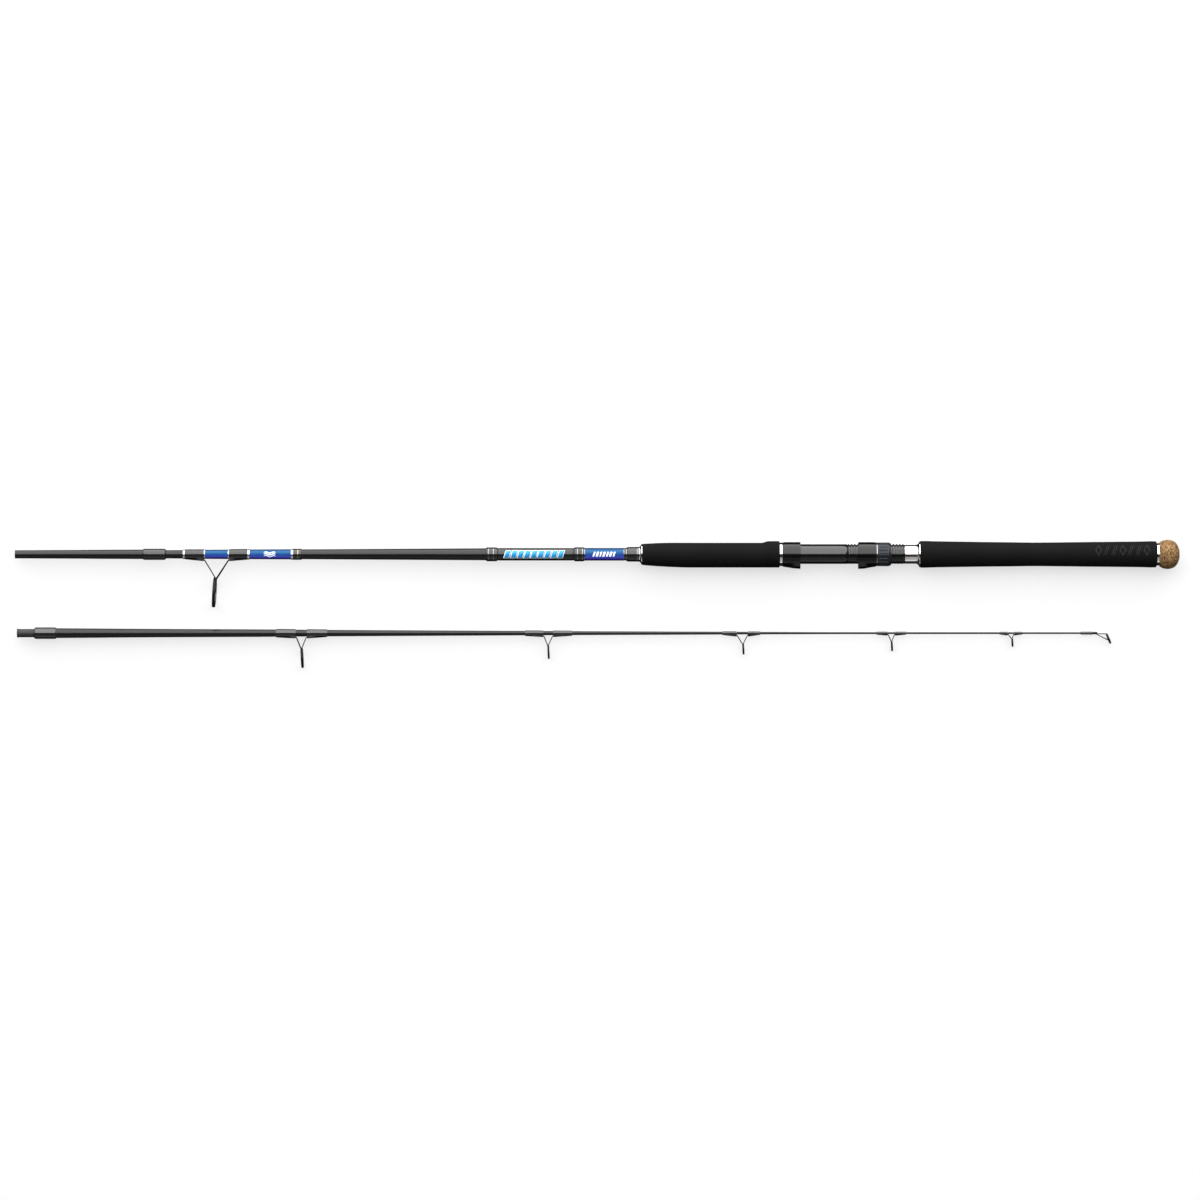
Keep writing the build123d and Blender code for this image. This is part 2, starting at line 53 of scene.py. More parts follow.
# The butt section's axis runs along X. The tip section's axis also sinks a little towards its tip.
BUTT_LOW, BUTT_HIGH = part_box("butt_blank")
BUTT_START = BUTT_LOW.x
BUTT_Y = (BUTT_LOW.y + BUTT_HIGH.y) / 2
BUTT_Z = (BUTT_LOW.z + BUTT_HIGH.z) / 2
MOUTH_LOW, MOUTH_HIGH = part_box("ferrule_wrap")
TIP_END_LOW, TIP_END_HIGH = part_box("tip_top_wrap")
MOUTH_CENTRE = (MOUTH_LOW + MOUTH_HIGH) / 2
TIP_CENTRE = (TIP_END_LOW + TIP_END_HIGH) / 2
TIP_SLOPE = (TIP_CENTRE.z - MOUTH_CENTRE.z) / (TIP_CENTRE.x - MOUTH_CENTRE.x)


def station(distance):
    """X of a place on the butt section, given in mm from its ferrule end."""
    return BUTT_START + distance * MM


# ---------------------------------------------------------------- shapes

def smooth_curve(points):
    """Function through (x, value) points that bends smoothly and doesn't overshoot."""
    slopes = [(b[1] - a[1]) / (b[0] - a[0]) for a, b in zip(points, points[1:])]
    tangents = [slopes[0]]
    for before, after in zip(slopes, slopes[1:]):
        steady = before * after > 0
        tangents.append(2 * before * after / (before + after) if steady else 0.0)
    tangents.append(slopes[-1])

    def value(x):
        x = min(max(x, points[0][0]), points[-1][0])
        place = 0
        while place < len(points) - 2 and x > points[place + 1][0]:
            place += 1
        (x0, y0), (x1, y1) = points[place], points[place + 1]
        width = x1 - x0
        t = (x - x0) / width
        rise = (2 * t - 3) * t * t
        return ((1 + rise) * y0 - rise * y1 + ((t - 2) * t + 1) * t * width * tangents[place]
                + (t - 1) * t * t * width * tangents[place + 1])

    return value


def spread(start, end, step):
    """Even places from start to end, about a step apart."""
    count = max(1, round((end - start) / step))
    return [start + (end - start) * place / count for place in range(count + 1)]


def butt_point(along, angle, radius, drop=0.0):
    """Point round the butt section's axis; angle 0 is up, and a quarter turn is towards +Y."""
    return Vector((station(along), BUTT_Y + (radius * math.sin(angle) - drop) * MM,
                   BUTT_Z + radius * math.cos(angle) * MM))


def add_mesh(name, points, faces, material, smooth=True):
    """New object from points and faces, with a material."""
    mesh = bpy.data.meshes.new(name)
    mesh.from_pydata([tuple(point) for point in points], [], faces)
    mesh.validate()
    mesh.materials.append(material)
    piece = bpy.data.objects.new(name, mesh)
    bpy.context.scene.collection.objects.link(piece)
    if smooth:
        mesh.shade_smooth()
        mesh.set_sharp_from_angle(angle=math.radians(40))
    return piece


def ring_skin(name, rings, material):
    """Closed tube through rings of points: down the outside, back through the bore."""
    around = len(rings[0])
    points = [point for ring in rings for point in ring]
    faces = []
    for row in range(len(rings)):
        below = row * around
        above = (row + 1) % len(rings) * around
        for column in range(around):
            after = (column + 1) % around
            faces.append((below + column, below + after, above + after, above + column))
    return add_mesh(name, points, faces, material)


def turned_piece(name, outside, radius_of, bore_of, around, material, drop_of=lambda along: 0.0):
    """Tube round the butt section's axis whose outer radius may change with place and angle."""
    angles = [TURN * count / around for count in range(around)]
    rings = [[butt_point(along, angle, radius_of(along, angle), drop_of(along)) for angle in angles]
             for along in outside]
    for along in (outside[-1], outside[0]):
        rings.append([butt_point(along, angle, bore_of(along)) for angle in angles])
    return ring_skin(name, rings, material)


def finish_piece(piece, body, slot, *nodes):
    """The piece rides on a body and stands for CAD nodes, which it hides. The slot is not used."""
    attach(piece, body)
    if nodes:
        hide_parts(*nodes)
    return piece


# ---------------------------------------------------------------- shader nodes

class Paint:
    """A material whose node tree is put together step by step."""

    def __init__(self, name, **constants):
        self.material = bpy.data.materials.new(name)
        self.material.use_nodes = True
        self.tree = self.material.node_tree
        self.shader = self.tree.nodes["Principled BSDF"]
        for socket, value in constants.items():
            self.shader.inputs[socket.replace("_", " ")].default_value = value
        self.place = self.node("ShaderNodeTexCoord").outputs["Object"]

    def node(self, kind, inputs=(), **settings):
        """New node. inputs maps a socket's name or number to a value or to another socket."""
        made = self.tree.nodes.new(kind)
        for name, value in settings.items():
            setattr(made, name, value)
        for socket, value in dict(inputs).items():
            self.feed(made.inputs[socket], value)
        return made

    def feed(self, socket, value):
        """A link from another socket, or a constant."""
        if isinstance(value, bpy.types.NodeSocket):
            self.tree.links.new(value, socket)
        else:
            socket.default_value = value

    def maths(self, operation, first, second=0.0, third=0.0):
        inputs = {0: first, 1: second, 2: third}
        return self.node("ShaderNodeMath", inputs, operation=operation).outputs[0]

    def parts(self, vector=None):
        """X, Y and Z of a vector, by default of the place in the object."""
        return self.node("ShaderNodeSeparateXYZ", {0: vector or self.place}).outputs

    def vector(self, x, y, z):
        return self.node("ShaderNodeCombineXYZ", {0: x, 1: y, 2: z}).outputs[0]

    def noise(self, scale, detail=2.0, roughness=0.5, vector=None):
        inputs = {"Vector": vector or self.place, "Scale": scale, "Detail": detail, "Roughness": roughness}
        return self.node("ShaderNodeTexNoise", inputs).outputs["Fac"]

    def cells(self, scale, output="Distance", feature="F1", vector=None):
        inputs = {"Vector": vector or self.place, "Scale": scale}
        return self.node("ShaderNodeTexVoronoi", inputs, feature=feature).outputs[output]

    def ramp(self, factor, stops, interpolation="LINEAR"):
        """Colour ramp with (position, colour) stops; a number is a grey."""
        made = self.node("ShaderNodeValToRGB", {0: factor})
        made.color_ramp.interpolation = interpolation
        elements = made.color_ramp.elements
        while len(elements) < len(stops):
            elements.new(0.5)
        for element, (position, colour) in zip(elements, stops):
            element.position = position
            colour = (colour, colour, colour) if isinstance(colour, (int, float)) else colour
            element.color = (*colour, 1.0)
        return made.outputs[0]

    def between(self, factor, low, high):
        """Number that goes from low to high as the factor goes from 0 to 1."""
        inputs = {0: factor, 3: low, 4: high}
        return self.node("ShaderNodeMapRange", inputs).outputs[0]

    def mix(self, factor, first, second, blend="MIX"):
        inputs = {0: factor, 6: first, 7: second}
        return self.node("ShaderNodeMix", inputs, data_type="RGBA", blend_type=blend).outputs[2]

    def bump(self, height, distance, strength=1.0, under=None):
        inputs = {"Height": height, "Distance": distance, "Strength": strength}
        if under:
            inputs["Normal"] = under
        return self.node("ShaderNodeBump", inputs).outputs["Normal"]

    def set(self, **sockets):
        for name, value in sockets.items():
            self.feed(self.shader.inputs[name.replace("_", " ")], value)
        return self.material

    def rod(self, section):
        """Distance along a section's axis, angle round it, and height across it, as sockets."""
        x, y, z = self.parts()[:3]
        if section == "butt":
            across = self.maths("SUBTRACT", y, BUTT_Y)
            up = self.maths("SUBTRACT", z, BUTT_Z)
        else:
            sunk = self.maths("MULTIPLY_ADD", x, TIP_SLOPE, MOUTH_CENTRE.z - TIP_SLOPE * MOUTH_CENTRE.x)
            across = self.maths("SUBTRACT", y, MOUTH_CENTRE.y)
            up = self.maths("SUBTRACT", z, sunk)
        return x, self.maths("ARCTAN2", across, up), across


def grey(value):
    return (value, value, value, 1.0)


# ---------------------------------------------------------------- materials

# Sizes in the surfaces: rows of winding thread, the tape that the blank was rolled under and the
# streaks of its fibres, the label's weave, and turning marks. Printed ink carries painted light and
# shade over a stretch across the rod.
THREAD_ROW = 0.34 * MM
TAPE_PITCH = 4.6 * MM
RIDGE_SHARPNESS = 14.0
STREAKS_ALONG, STREAKS_AROUND = 130.0, 7.0
WEAVE_PITCH, WEAVE_AROUND = 1.6 * MM, 14.0
TURNING_MARKS = 9000.0
PRINT_SHADE_SPAN = 11.0 * MM

# Station behind which the silver rings are duller, and the vertex attribute of pressed foam, where the
# foam gets its painted highlight
REAR_TRIM_START = 500.0
PRESSED = "pressed_highlight"


def carbon(section):
    """Lacquered carbon blank: faint spiral ridges from the winding tape and fibre streaks."""
    paint = Paint("carbon_" + section, Specular_IOR_Level=0.2, Coat_Weight=0.22, Coat_Roughness=0.10)
    along, angle = paint.rod(section)[:2]
    spiral = paint.maths("MULTIPLY_ADD", along, TURN / TAPE_PITCH, angle)
    wave = paint.maths("ABSOLUTE", paint.maths("SINE", paint.maths("MULTIPLY", spiral, 0.5)))
    ridge = paint.maths("POWER", wave, RIDGE_SHARPNESS)
    streaks = paint.noise(1.0, 4.0, 0.6, paint.vector(paint.maths("MULTIPLY", along, STREAKS_ALONG),
                                                      paint.maths("MULTIPLY", angle, STREAKS_AROUND), 0.0))
    clouds = paint.noise(45.0, 2.0)
    shade = paint.mix(streaks, grey(0.0008), grey(0.0032))
    shade = paint.mix(paint.maths("MULTIPLY", ridge, 0.35), shade, grey(0.008))
    rough = paint.maths("ADD", paint.between(streaks, 0.24, 0.36), paint.between(clouds, -0.04, 0.05))
    height = paint.maths("MULTIPLY_ADD", streaks, 0.35, ridge)
    return paint.set(Base_Color=shade, Roughness=rough, Normal=paint.bump(height, 0.03 * MM, 0.8))


def winding(section, clear_index):
    """Rows of black thread under thick clear epoxy."""
    paint = Paint("winding_" + section, Specular_IOR_Level=0.1, Coat_Weight=0.9, Coat_Roughness=0.04,
                  Coat_IOR=clear_index)
    along, angle = paint.rod(section)[:2]
    rows = paint.maths("SINE", paint.maths("MULTIPLY_ADD", along, TURN / THREAD_ROW, angle))
    height = paint.between(rows, 0.0, 1.0)
    fuzz = paint.noise(5200.0, 3.0)
    shade = paint.mix(height, grey(0.0010), grey(0.0040))
    shade = paint.mix(paint.maths("MULTIPLY", fuzz, 0.5), shade, grey(0.0022))
    swell = paint.noise(110.0, 2.0)
    clear = paint.bump(swell, 0.25 * MM, 0.5)
    return paint.set(Base_Color=shade, Roughness=paint.between(fuzz, 0.38, 0.6),
                     Normal=paint.bump(height, 0.05 * MM, 0.7, clear), Coat_Normal=clear)


def blue_winding():
    """Metallic blue band that fades round the rod, from azure on one side to violet on the other, with
    painted light and shade round it as well.
    """
    paint = Paint("blue_winding", Metallic=0.35, Specular_IOR_Level=0.1, Coat_Weight=0.06,
                  Coat_Roughness=0.05)
    along, angle = paint.rod("butt")[:2]
    # Painted light and shade: shade_across drives both the band's own azure-to-violet fade and a ramp
    # whose brightness is painted, with a dark line along the top of the rod (stops 0.46 to 0.58) and paler
    # stops on the side away from the key light (0.14 to 0.27).
    shade_across = paint.maths("MULTIPLY_ADD", paint.maths("SINE", angle), 0.5, 0.5)
    colour = paint.ramp(shade_across, [(0.0, (0.013, 0.004, 0.16)), (0.14, (0.034, 0.026, 0.31)),
                               (0.27, (0.044, 0.065, 0.40)), (0.46, (0.006, 0.052, 0.23)),
                               (0.58, (0.004, 0.034, 0.115)), (0.69, (0.006, 0.058, 0.14)),
                               (0.80, (0.010, 0.060, 0.15)), (0.93, (0.005, 0.026, 0.08))])
    rows = paint.maths("SINE", paint.maths("MULTIPLY", along, TURN / THREAD_ROW))
    flakes = paint.cells(4200.0, "Color")
    sparkle = paint.mix(0.10, colour, flakes, "OVERLAY")
    swell = paint.bump(paint.noise(90.0, 2.0), 0.2 * MM, 0.35)
    return paint.set(Base_Color=sparkle, Roughness=paint.between(rows, 0.30, 0.42),
                     Normal=paint.bump(rows, 0.02 * MM, 0.4, swell), Coat_Normal=swell)


def label_black():
    """Black lacquered sleeve over the blank, with a woven shimmer."""
    paint = Paint("label_black", Specular_IOR_Level=0.2, Coat_Weight=0.5, Coat_Roughness=0.07)
    along, angle = paint.rod("butt")[:2]
    threads = []
    for way in (1, -1):
        turned = paint.maths("MULTIPLY", angle, way * WEAVE_AROUND)
        spiral = paint.maths("MULTIPLY_ADD", along, TURN / WEAVE_PITCH, turned)
        threads.append(paint.maths("SINE", spiral))
    weave = paint.between(paint.maths("MULTIPLY", *threads), 0.0, 1.0)
    return paint.set(Base_Color=paint.mix(weave, grey(0.002), grey(0.007)),
                     Roughness=paint.between(weave, 0.25, 0.4), Normal=paint.bump(weave, 0.02 * MM, 0.5))


def metal(name, colour, roughness, groove, tint=0.06, rear_colour=None):
    """Bright metal with turning marks round it and a few fine scratches.

    With a rear colour, the rings behind the plain stretch of blank take that instead.
    """
    paint = Paint(name, Metallic=1.0)
    x = paint.parts()[0]
    marks = paint.noise(1.0, 4.0, 0.7, paint.vector(paint.maths("MULTIPLY", x, TURNING_MARKS), 0.0, 0.0))
    scratches = paint.noise(700.0, 6.0, 0.75)
    base = (*colour, 1.0)
    if rear_colour:
        behind = paint.maths("GREATER_THAN", x, station(REAR_TRIM_START))
        base = paint.mix(behind, base, (*rear_colour, 1.0))
    shade = paint.mix(paint.maths("MULTIPLY", scratches, tint), base, grey(0.08))
    rough = paint.maths("ADD", paint.between(marks, roughness * 0.7, roughness * 1.4),
                        paint.between(scratches, -0.02, 0.03))
    return paint.set(Base_Color=shade, Roughness=rough, Normal=paint.bump(marks, groove, 0.5))


def foam():
    """Closed-cell foam: matt, with fine open cells in the skin and slight rubbing marks.

    Where the mesh says that it was pressed by a hot stamp, it is smoother, and its colour is paler: a
    painted highlight that stands in for the glint of the pressed strokes.
    """
    paint = Paint("foam", Specular_IOR_Level=0.08)
    pressed_highlight = paint.node("ShaderNodeAttribute", attribute_name=PRESSED).outputs["Fac"]
    cells = paint.cells(2600.0)
    large = paint.cells(1150.0)
    grain = paint.noise(6000.0, 3.0, 0.6)
    rubbed = paint.noise(28.0, 3.0, 0.55)
    shade = paint.mix(cells, grey(0.0010), grey(0.0033))
    shade = paint.mix(paint.maths("MULTIPLY", rubbed, 0.35), shade, grey(0.0033))
    # Painted highlight: pressed places take a paler grey, in place of the glint that their smoother skin
    # would catch.
    shade = paint.mix(pressed_highlight, shade, grey(0.019))
    height = paint.maths("ADD", cells, paint.maths("MULTIPLY", large, 0.6))
    height = paint.maths("MULTIPLY_ADD", grain, 0.5, height)
    rough = paint.maths("MULTIPLY_ADD", pressed_highlight, -0.3, paint.between(rubbed, 0.72, 0.9))
    return paint.set(Base_Color=shade, Roughness=rough, Normal=paint.bump(height, 0.12 * MM, 0.7))


def cork():
    """Ground cork: large and small chips of many browns, thin dark binder and small pits."""
    paint = Paint("cork", Specular_IOR_Level=0.12)
    warp = paint.noise(520.0, 3.0)
    bent = paint.node("ShaderNodeVectorMath", {0: paint.place, 1: paint.vector(
        paint.maths("MULTIPLY", warp, 2.6 * MM), paint.maths("MULTIPLY", warp, -2.0 * MM),
        paint.maths("MULTIPLY", warp, 1.5 * MM))}).outputs[0]
    large = paint.parts(paint.cells(560.0, "Color", vector=bent))[0]
    small = paint.parts(paint.cells(1350.0, "Color", vector=bent))[1]
    crumbled = paint.ramp(paint.noise(300.0, 2.0), [(0.47, 0.0), (0.53, 1.0)], "CONSTANT")
    tone = paint.parts(paint.mix(crumbled, large, small))[0]
    colour = paint.ramp(tone, [(0.0, (0.031, 0.013, 0.006)), (0.18, (0.080, 0.037, 0.014)),
                               (0.38, (0.175, 0.096, 0.038)), (0.62, (0.235, 0.137, 0.058)),
                               (0.85, (0.295, 0.185, 0.087)), (1.0, (0.120, 0.059, 0.023))])
    speck = paint.ramp(paint.noise(2600.0, 4.0, 0.7), [(0.40, 0.35), (0.56, 1.0)])
    colour = paint.mix(0.65, colour, speck, "MULTIPLY")
    edge = paint.cells(560.0, "Distance", "DISTANCE_TO_EDGE", vector=bent)
    binder = paint.ramp(edge, [(0.0, 0.45), (0.07, 1.0)])
    colour = paint.mix(binder, (0.055, 0.026, 0.011, 1.0), colour)
    height = paint.maths("MULTIPLY_ADD", paint.noise(1900.0, 3.0, 0.6), 0.5, binder)
    return paint.set(Base_Color=colour, Roughness=paint.between(tone, 0.62, 0.85),
                     Normal=paint.bump(height, 0.16 * MM, 0.7))


def moulded(name, dark, light, roughness, specular, grain=0.02):
    """Moulded plastic: fine spark-eroded grain, faint flow marks and handling wear."""
    paint = Paint(name, Specular_IOR_Level=specular)
    fine = paint.noise(4200.0, 3.0, 0.6)
    flow = paint.noise(60.0, 3.0, 0.6)
    shade = paint.mix(flow, (*dark, 1.0), (*light, 1.0))
    rough = paint.maths("ADD", paint.between(fine, roughness - 0.05, roughness + 0.05),
                        paint.between(flow, -0.04, 0.05))
    return paint.set(Base_Color=shade, Roughness=rough, Normal=paint.bump(fine, grain * MM, 0.6))


def ceramic():
    """Polished dark ceramic with a trace of sintered grain."""
    paint = Paint("ceramic", Specular_IOR_Level=0.75, Coat_Weight=0.4, Coat_Roughness=0.05)
    grain = paint.cells(5200.0)
    shade = paint.mix(grain, (0.012, 0.012, 0.013, 1.0), (0.028, 0.028, 0.031, 1.0))
    return paint.set(Base_Color=shade, Roughness=paint.between(grain, 0.10, 0.18),
                     Normal=paint.bump(grain, 0.006 * MM, 0.4))


def plated():
    """Black-plated steel wire: dark, satin, thinly rubbed in scattered patches."""
    paint = Paint("plated", Metallic=0.75, Specular_IOR_Level=0.2)
    drawn = paint.noise(2400.0, 4.0, 0.65)
    worn = paint.noise(260.0, 3.0, 0.6)
    shade = paint.mix(paint.ramp(worn, [(0.50, 0.0), (0.90, 1.0)]), grey(0.007), grey(0.020))
    return paint.set(Base_Color=shade, Roughness=paint.between(drawn, 0.24, 0.40),
                     Normal=paint.bump(drawn, 0.012 * MM, 0.5))


def decal(name, light, dark):
    """Printed mark: ink whose colour shifts across the rod as painted light and shade, with fine print
    grain, under gloss.
    """
    paint = Paint(name, Specular_IOR_Level=0.2, Coat_Weight=0.15, Coat_Roughness=0.05)
    across = paint.rod("butt")[2]
    # Painted light and shade: the ink takes the colour given as light on the +Y side, towards the key
    # light, and the colour given as dark on the far side.
    shade_across = paint.maths("ADD", paint.maths("DIVIDE", across, PRINT_SHADE_SPAN), 0.5)
    grain = paint.noise(3800.0, 2.0)
    colour = paint.mix(shade_across, (*dark, 1.0), (*light, 1.0))
    colour = paint.mix(0.06, colour, paint.ramp(grain, [(0.3, 0.6), (0.7, 1.0)]), "MULTIPLY")
    return paint.set(Base_Color=colour, Roughness=paint.between(grain, 0.25, 0.4))


def foam_bush():
    """Light rigid foam of the bushes under the reel seat."""
    paint = Paint("foam_bush", Specular_IOR_Level=0.3)
    cells = paint.cells(1500.0)
    return paint.set(Base_Color=paint.mix(cells, (0.42, 0.38, 0.29, 1.0), (0.60, 0.56, 0.46, 1.0)),
                     Roughness=paint.between(cells, 0.75, 0.95), Normal=paint.bump(cells, 0.15 * MM, 0.7))


CARBON = {"butt": carbon("butt"), "tip": carbon("tip")}
WINDING = {"butt": winding("butt", 1.5), "tip": winding("tip", 1.62)}
FOAM = foam()
CORK = cork()
SEAT_BLACK = moulded("seat_black", (0.0010, 0.0010, 0.0012), (0.0024, 0.0024, 0.0027), 0.17, 0.5)
FINISHES = {
    "blue_band": blue_winding(),
    "label_black": label_black(),
    "trim_silver": metal("trim_silver", (0.74, 0.75, 0.77), 0.16, 0.03 * MM, 0.15,
                         rear_colour=(0.20, 0.20, 0.21)),
    "trim_gold": metal("trim_gold", (0.22, 0.20, 0.145), 0.16, 0.03 * MM),
    "polished_metal": metal("polished_metal", (0.90, 0.865, 0.84), 0.09, 0.006 * MM),
    "eva_foam": FOAM,
    "cork": CORK,
    "seat_plastic": SEAT_BLACK,
    "nut_grey": moulded("nut_slate", (0.004, 0.006, 0.008), (0.007, 0.010, 0.013), 0.32, 0.24),
    "guide_metal": plated(),
    "guide_ceramic": ceramic(),
    "arbor_foam": foam_bush(),
    "plug_rubber": moulded("plug_rubber", (0.006, 0.006, 0.006), (0.013, 0.013, 0.013), 0.62, 0.4, 0.05),
}
HOOD_BLACK = moulded("hood_black", (0.0008, 0.0008, 0.0010), (0.0018, 0.0018, 0.0021), 0.17, 0.29)
NODE_FINISHES = {"fixed_hood": HOOD_BLACK, "sliding_hood": HOOD_BLACK}
# Each ink: its colour on the side towards the key light, then on the far side; the change between them is
# painted light and shade.
INK_WHITE = decal("ink_white", (0.66, 0.68, 0.72), (0.80, 0.82, 0.92))
INK_CYAN = decal("ink_cyan", (0.012, 0.25, 0.42), (0.003, 0.15, 0.38))


def dress_frame():
    """Every CAD node gets its slot's material and soft shading."""
    tip_nodes = frame["record"]["behaviour"]["bodies"]["tip_section"]
    for part in frame["record"]["subparts"]:
        piece = frame["nodes"][part["node"]]
        section = "tip" if part["node"] in tip_nodes else "butt"
        by_section = {"carbon_black": CARBON, "thread_black": WINDING}.get(part["material_slot"])
        finish = by_section[section] if by_section else FINISHES[part["material_slot"]]
        finish = NODE_FINISHES.get(part["node"], finish)
        piece.data.materials.clear()
        piece.data.materials.append(finish)
        piece.data.shade_smooth()
        piece.data.set_sharp_from_angle(angle=math.radians(32))


# ---------------------------------------------------------------- reel seat and grips

# Stations and radii in millimetres, as in the CAD
BLANK = [(180.0, 4.7), (530.0, 6.75), (1294.0, 7.15)]
SEAT_START, THREAD_START, SEAT_END = 859.6, 930.7, 996.5
SEAT_RADIUS, SEAT_BORE, SEAT_FLAT = 11.3, 9.6, 10.7
THREAD_CORE, THREAD_CREST, THREAD_PITCH = 10.5, 11.55, 3.6
THREAD_SHOULDER, THREAD_RUNOUT, THREAD_MARGIN = 1.0, 1.5, 0.6
CREST_SHARE, RAMP_SHARE = 0.34, 0.14


def blank_radius(along):
    """Outer radius of the butt blank."""
    (front, front_radius), (middle, middle_radius), (rear, rear_radius) = BLANK
    if along < middle:
        return front_radius + (along - front) * (middle_radius - front_radius) / (middle - front)
    return middle_radius + (along - middle) * (rear_radius - middle_radius) / (rear - middle)


def thread_radius(along, angle):
    """Radius of the seat barrel: plain, then a helical thread, with a flat for the reel's foot."""
    radius = SEAT_RADIUS
    into = along - THREAD_START - THREAD_SHOULDER
    if into > 0.0:
        phase = ((along - THREAD_START) / THREAD_PITCH - angle / TURN) % 1.0
        away = abs(phase - 0.5) - CREST_SHARE / 2
        share = min(max(1.0 - away / RAMP_SHARE, 0.0), 1.0)
        share = share * share * (3 - 2 * share)
        runout = min(max((SEAT_END - THREAD_MARGIN - along) / THREAD_RUNOUT, 0.0), 1.0)
        share = share * runout * min(into / THREAD_RUNOUT, 1.0)
        radius = THREAD_CORE + (THREAD_CREST - THREAD_CORE) * share
    below = -math.sin(angle)
    if below * radius > SEAT_FLAT:
        radius = SEAT_FLAT / below
    return radius


def seat_barrel():
    """Reel seat tube, with mesh rows close enough together for the helical thread."""
    plain = spread(SEAT_START, THREAD_START + 0.9, 6.0)
    threaded = spread(THREAD_START + 1.3, SEAT_END, 0.15)
    barrel = turned_piece("seat_barrel_threaded", plain + threaded, thread_radius,
                          lambda along: SEAT_BORE, 180, SEAT_BLACK)
    barrel.data.set_sharp_from_angle(angle=math.radians(80))
    return finish_piece(barrel, "butt_section", "seat_plastic", "seat_barrel")


def foam_grain(along, angle, radius, depth=0.05):
    """Small unevenness of a ground foam surface."""
    spot = Vector((along * 0.9, radius * math.sin(angle) * 0.9, radius * math.cos(angle) * 0.9))
    return depth * noise.noise(spot)


def rounded_end(along, start, end, size):
    """How much the radius shrinks close to the ends of a grip, as a quarter round."""
    near = min(along - start, end - along)
    if near >= size:
        return 0.0
    return size - math.sqrt(max(size * size - (size - near) ** 2, 0.0))


FOREGRIP_START, FOREGRIP_END = 702.2, 856.2
FOREGRIP_RADIUS = smooth_curve([(702.2, 11.8), (710.0, 12.4), (722.0, 13.1), (736.0, 13.6), (757.0, 13.85),
                                (836.0, 13.85), (844.0, 14.8), (856.2, 14.8)])
FOREGRIP_DROP = smooth_curve([(702.2, 0.1), (710.0, 0.25), (722.0, 0.4), (736.0, 0.65), (757.0, 0.95),
                              (836.0, 0.95), (844.0, 0.0), (856.2, 0.0)])


def end_stations(start, end, size, step):
    """Places along a grip, close together at its rounded ends."""
    quarter = [size * (1 - math.cos(math.radians(15 * count))) for count in range(7)]
    head = [start + reach for reach in quarter]
    tail = [end - reach for reach in reversed(quarter)]
    return head + spread(start + size + step, end - size - step, step) + tail


def foregrip():
    """Foam grip in front of the seat, with its raised collar."""
    size = 0.9

    def radius_of(along, angle):
        return (FOREGRIP_RADIUS(along) - rounded_end(along, FOREGRIP_START, FOREGRIP_END, size)
                + foam_grain(along, angle, 13.5))

    places = end_stations(FOREGRIP_START, FOREGRIP_END, size, 1.1)
    grip = turned_piece("foregrip_foam", places, radius_of, blank_radius, 144, FOAM, FOREGRIP_DROP)
    return finish_piece(grip, "butt_section", "eva_foam", "foregrip")


REAR_START, REAR_END = 1013.3, 1278.5
REAR_RADIUS = smooth_curve([(1013.3, 14.9), (1018.0, 15.0), (1031.5, 14.6), (1058.0, 14.2), (1085.0, 13.8),
                            (1112.0, 13.55), (1142.0, 13.2), (1179.0, 13.55), (1206.0, 13.85),
                            (1233.0, 14.1), (1260.0, 14.4), (1273.0, 14.7), (1278.5, 14.6)])
MOTIF_START, MOTIF_STEP, MOTIF_COUNT = 1213.0, 9.0, 7
MOTIF_ANGLE = math.radians(22.0)
MOTIF_REACH = 7.0
MOTIF_DEPTH = 0.75
MOTIF_EDGE = 0.5
LOZENGE_HALF, LOZENGE_TAPER, LOZENGE_STROKE = 3.3, 0.56, 0.5
BAR_SPACING, BAR_LEAN, BAR_STROKE, BAR_HALF = 1.15, 0.36, 0.45, 6.0
GRIP_CORE = 10.0


def motif_edge(across, around, kind):
    """Signed distance in mm to a pressed outline: a lozenge, or a pair of slanted bars.

    0.87 and 0.94 turn a distance along the rod into one square to the sloping strokes.
    """
    if kind == 0:
        return abs(abs(across) + LOZENGE_TAPER * abs(around) - LOZENGE_HALF) * 0.87 - LOZENGE_STROKE
    leaning = across - BAR_LEAN * around
    return max(abs(abs(leaning) - BAR_SPACING) * 0.94 - BAR_STROKE, abs(around) - BAR_HALF)


def motif_press(along, angle, radius):
    """Depth of the pressed row on top of the rear grip: lozenges and slanted bars by turns."""
    place = round((along - MOTIF_START) / MOTIF_STEP)
    if not 0 <= place < MOTIF_COUNT:
        return 0.0
    around = ((angle - MOTIF_ANGLE + math.pi) % TURN - math.pi) * radius
    if abs(around) > MOTIF_REACH:
        return 0.0
    edge = motif_edge(along - MOTIF_START - place * MOTIF_STEP, around, place % 3)
    inside = min(max(0.5 - edge / MOTIF_EDGE, 0.0), 1.0)
    return MOTIF_DEPTH * inside * inside * (3 - 2 * inside)


def mark_pressed(grip):
    """Tells the foam's material where the stamp pressed the grip, from 0 to 1 at each vertex; the material
    makes these places smoother and paints a highlight on them.
    """
    shares = []
    for vertex in grip.data.vertices:
        along = (vertex.co.x - BUTT_START) / MM
        across = vertex.co.y - BUTT_Y
        up = vertex.co.z - BUTT_Z
        outside = math.hypot(across, up) > GRIP_CORE * MM
        press = motif_press(along, math.atan2(across, up), REAR_RADIUS(along))
        shares.append(press / MOTIF_DEPTH if outside else 0.0)
    grip.data.attributes.new(PRESSED, "FLOAT", "POINT").data.foreach_set("value", shares)


